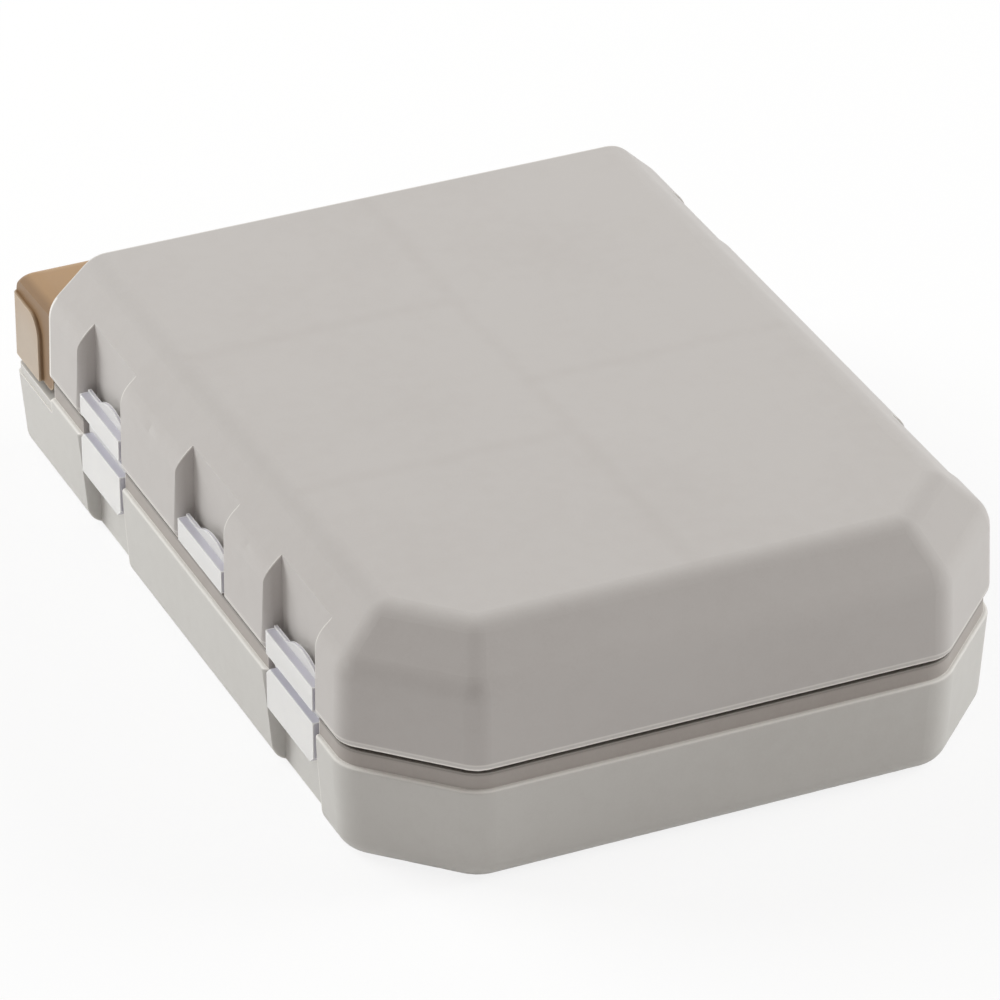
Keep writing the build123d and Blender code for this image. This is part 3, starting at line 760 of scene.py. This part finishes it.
def plant_flap_tree():
    """The whole rule: Side is -1 on the left, and Up is -1 for a flap of the base."""
    grow = FlapTree("clear_flap_rule", FLAP_SIZES)
    side, up = grow.size("Side"), grow.size("Up")
    face = up * FACE_SETBACK + PARTING
    back = up * (FACE_SETBACK + FLAP_THICKNESS) + PARTING
    near_end, far_end = grow.size("Barrel Near"), grow.size("Barrel Far")
    pivot = grow.vector(side * PIVOT_OUT, (near_end + far_end) * 0.5, up * PIVOT_DEPTH + PARTING)
    tab = (grow.size("Tab Near"), grow.size("Tab Far"))
    body = grow.melt([
        flap_plate(grow, side, face, back),
        grow.block((side * PIVOT_OUT, side * PLATE_ROOT), (near_end, far_end), (face, back)),
        grow.rod(BARREL_RADIUS, far_end - near_end, pivot, LENGTHWAYS),
        grow.block((side * PLATE_EDGE, side * TAB_BACK), tab, (face, back)),
        flap_tab(grow, side, face),
        flap_ear(grow, side, face),
    ])
    bore = grow.rod(BORE_RADIUS, far_end - near_end + 2 * PAST, pivot, LENGTHWAYS)
    body = grow.melt([body, bore], "DIFFERENCE")
    body = grow.node("GeometryNodeMergeByDistance", inputs={"Geometry": body, "Distance": SAME_POINT})
    body = grow.node("GeometryNodeRealizeInstances", inputs={"Geometry": body})
    body = grow.node("GeometryNodeSetMaterial", inputs={"Geometry": body, "Material": clear_finish})
    grow.node("NodeGroupOutput", inputs={"Geometry": body})
    return grow


flap_tree = plant_flap_tree()
print("flap tree nodes:", len(flap_tree.tree.nodes), "inputs:", len(flap_tree.ids))

# %% [markdown]
# ## Nine flaps from the tree
# Each flap's own lengths come from its solid's place, and from the notch that its tab
# comes out through. The lower tabs hang well down the side and have no ear, while the
# upper ones are short with the ear standing behind them. A table of notches could be
# measured from the solids, but it is short, and read from a drawing it stays readable.

# %% The lengths of each flap
BARREL_END = 1.9 * MM           # from the wall or divider to the barrel, at a case's end
DIVIDER_SHARE = 0.8 * MM        # how much less it is beside a divider
WALL = 1.8 * MM
NEAR_END = NEAR_FACE + WALL
FAR_END = LID_FAR_END - WALL
EDGE_GAP = 0.3 * MM
CUT_LEG = 11.97 * MM
TAB_GAP = 0.6 * MM
NOTCH_NEAR = (-34.55 * MM, 16.5 * MM)       # middle and length
NOTCH_MIDDLE = (-4.3 * MM, 16.2 * MM)
NOTCH_FAR = (31.55 * MM, 15.3 * MM)
NOTCH_RIGHT_FAR = (33.7 * MM, 15.3 * MM)
NOTCHES = {
    "left": {"near": NOTCH_NEAR, "middle": NOTCH_MIDDLE, "far": NOTCH_FAR},
    "right": {"near": NOTCH_NEAR, "far": NOTCH_RIGHT_FAR},
}
LOWER_TAB = {"Tab Start": -0.7 * MM, "Tab End": -7.0 * MM, "Tab Ease": 1.1 * MM}
UPPER_TAB_REACH = {"near": (0.0, 3.5), "middle": (0.45, 3.7), "far": (0.9, 3.9)}   # mm above the face
NO_EAR = {"Ear Rise": 0.0, "Ear Step": 0.0, "Ear Near Share": 0.0, "Ear Far Share": 0.0}
EAR = {"Ear Rise": 1.8 * MM, "Ear Step": 0.35 * MM, "Ear Near Share": 0.05, "Ear Far Share": 0.28}


def flap_lengths(name, low, high):
    """The tree's inputs for the flap of this name and box."""
    half, _, hand, place = name.split("_")
    upper = half == "lid"
    start, end = low.y - EDGE_GAP, high.y + EDGE_GAP
    at_near = start < NEAR_END + MM
    at_far = end > FAR_END - MM
    middle, length = NOTCHES[hand][place]
    tab = {**LOWER_TAB, **NO_EAR}
    if upper:
        tab_start, tab_end = UPPER_TAB_REACH[place]
        tab = {"Tab Start": tab_start * MM, "Tab End": tab_end * MM, "Tab Ease": 0.0, **EAR}
    return {
        "Side": -1.0 if hand == "left" else 1.0,
        "Up": 1.0 if upper else -1.0,
        "Near": low.y,
        "Far": high.y,
        "Corner Cut": CUT_LEG if at_near else 0.0,
        "Barrel Near": start + BARREL_END - (0.0 if at_near else DIVIDER_SHARE),
        "Barrel Far": end - BARREL_END + (0.0 if at_far else DIVIDER_SHARE),
        "Tab Near": middle - length / 2 + TAB_GAP,
        "Tab Far": middle + length / 2 - TAB_GAP,
        **tab,
    }


flap_names = [node for node in frame["nodes"] if "_flap_" in node and "_rod_" not in node]
print("flaps:", len(flap_names))

# %% Grow the flaps
SMOOTH_UP_TO = radians(30)
BEVEL_WIDTH = 0.12 * MM
BEVEL_SEGMENTS = 2
BEVEL_FROM = radians(40)


def grow_flap(name, lengths):
    """One flap as a plain mesh, from the tree through a modifier that is then dropped."""
    seed = bpy.data.objects.new(f"{name}_seed", bpy.data.meshes.new(f"{name}_seed"))
    bpy.context.scene.collection.objects.link(seed)
    modifier = seed.modifiers.new("flap", "NODES")
    modifier.node_group = flap_tree.tree
    for size_name, value in lengths.items():
        modifier[flap_tree.ids[size_name]] = value
    grown = seed.evaluated_get(bpy.context.evaluated_depsgraph_get())
    shape = bpy.data.meshes.new_from_object(grown)
    bpy.data.objects.remove(seed)
    shape.name = f"{name}_clear"
    shape.polygons.foreach_set("use_smooth", [True] * len(shape.polygons))
    shape.set_sharp_from_angle(angle=SMOOTH_UP_TO)
    flap = bpy.data.objects.new(f"{name}_clear", shape)
    bpy.context.scene.collection.objects.link(flap)
    return flap


def break_edges(flap):
    """A live Bevel that rounds the moulded edges a little."""
    bevel = flap.modifiers.new("moulded_edge", "BEVEL")
    bevel.width = BEVEL_WIDTH
    bevel.segments = BEVEL_SEGMENTS
    bevel.limit_method = "ANGLE"
    bevel.angle_limit = BEVEL_FROM
    bevel.harden_normals = True


for name in flap_names:
    low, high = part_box(name)
    flap = grow_flap(name, flap_lengths(name, low, high))
    break_edges(flap)
    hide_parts(name)
    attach(flap, name)
    reaches = [vertex.co.y for vertex in flap.data.vertices]
    length = max(reaches) - min(reaches)
    print(name, len(flap.data.polygons), "faces, length in mm:", round(length / MM, 2))

# %% [markdown]
# ## The floor
# The picture was taken in a white tent: the floor runs out to white with no edge in
# sight. A big plain sheet stands for it. The camera sees it mostly as white, and the
# rest of its look is plain shaded card, so that the shadow of the case still lies on
# it. More light on the floor would whiten it too, but would bleach the case as well.

# %% Lay the floor
FLOOR_HALF = 3.0
FLOOR_WHITE = 0.93
FLOOR_MOTTLE_SCALE = 30.0
FLOOR_MOTTLE_SHARE = 0.02
CARD_ROUGHNESS = 0.9
WHITE_SHARE = 0.84      # how much of the floor's look, for the camera, is plain white
WHITE = (1.0, 1.0, 1.0, 1.0)

floor_mesh = bmesh.new()
bmesh.ops.create_grid(floor_mesh, x_segments=1, y_segments=1, size=FLOOR_HALF)
floor_data = bpy.data.meshes.new("floor")
floor_mesh.to_mesh(floor_data)
floor_mesh.free()
floor = bpy.data.objects.new("floor", floor_data)
bpy.context.scene.collection.objects.link(floor)

card = Finish("floor_card")
tone = card.noise(card.point(), FLOOR_MOTTLE_SCALE) * FLOOR_MOTTLE_SHARE + FLOOR_WHITE
tones = {"Red": tone, "Green": tone, "Blue": tone}
card.surface(Base_Color=card.node("ShaderNodeCombineColor", inputs=tones), Roughness=CARD_ROUGHNESS)
card_shaded = Reading(card, card.shader.outputs[0])
card_white = card.node("ShaderNodeEmission", inputs={"Color": WHITE, "Strength": 1.0})
card_share = card.seen_directly() * WHITE_SHARE
card_look = card.node("ShaderNodeMixShader", inputs={0: card_share, 1: card_shaded, 2: card_white})
card.feed(card.tree.nodes["Material Output"].inputs["Surface"], card_look)
floor_data.materials.append(card.material)
print("floor, m across:", 2 * FLOOR_HALF)

# %% [markdown]
# ## The light of the tent
# Two soft lamps and a pale tent light the case. Comparing the brightness of its faces
# in the picture gives where they stand: one on the right and a little near, one behind
# on the left, so the long left side is as bright as the top while the near side, which
# faces neither, is clearly darker. Large discs give the shadows their soft ends. The
# lamps are left out of the gloss, because behind the tent's cloth they show no spot.

# %% Hang the lamps
LAMP_DISTANCE = 1.2
LAMP_WIDTH = 0.78           # 18 degrees on each side of its middle
LAMP_HEIGHT = radians(30)
LAMP_COLOUR = (0.97, 1.0, 1.0)
LAMPS = {"near_right_lamp": (radians(100), 9.1), "far_left_lamp": (radians(320), 11.6)}

for lamp_name, (turn, watts) in LAMPS.items():
    lamp_data = bpy.data.lights.new(lamp_name, "AREA")
    lamp_data.shape = "DISK"
    lamp_data.size = LAMP_WIDTH
    lamp_data.energy = watts
    lamp_data.color = LAMP_COLOUR
    lamp = bpy.data.objects.new(lamp_name, lamp_data)
    way = Vector((sin(turn) * cos(LAMP_HEIGHT), cos(turn) * cos(LAMP_HEIGHT), sin(LAMP_HEIGHT)))
    lamp.location = CAMERA_AIM + way * LAMP_DISTANCE
    lamp.rotation_mode = "QUATERNION"
    lamp.rotation_quaternion = way.to_track_quat("Z", "Y")
    lamp.visible_glossy = False
    bpy.context.scene.collection.objects.link(lamp)
print("lamps:", ", ".join(LAMPS))

# %% [markdown]
# ## The tent
# The tent itself is the world's plain colour. The camera, and gloss and clear plastic,
# see it as white, while its light on the case is a third of that, and a little warm.

# %% Raise the tent
TENT_LIGHT = 0.35
TENT_WARMTH = (1.0, 0.93, 0.89, 1.0)

tent = bpy.data.worlds.new("tent")
tent.use_nodes = True
bpy.context.scene.world = tent
sky = Maker(tent.node_tree)
sky_surface = tent.node_tree.nodes["Background"]
seen = sky.seen_directly()
sky.feed(sky_surface.inputs["Color"], sky.mix(seen, TENT_WARMTH, WHITE))
sky.feed(sky_surface.inputs["Strength"], seen * (1 - TENT_LIGHT) + TENT_LIGHT)
bpy.context.scene.view_settings.view_transform = "Standard"
print("tent light:", TENT_LIGHT)
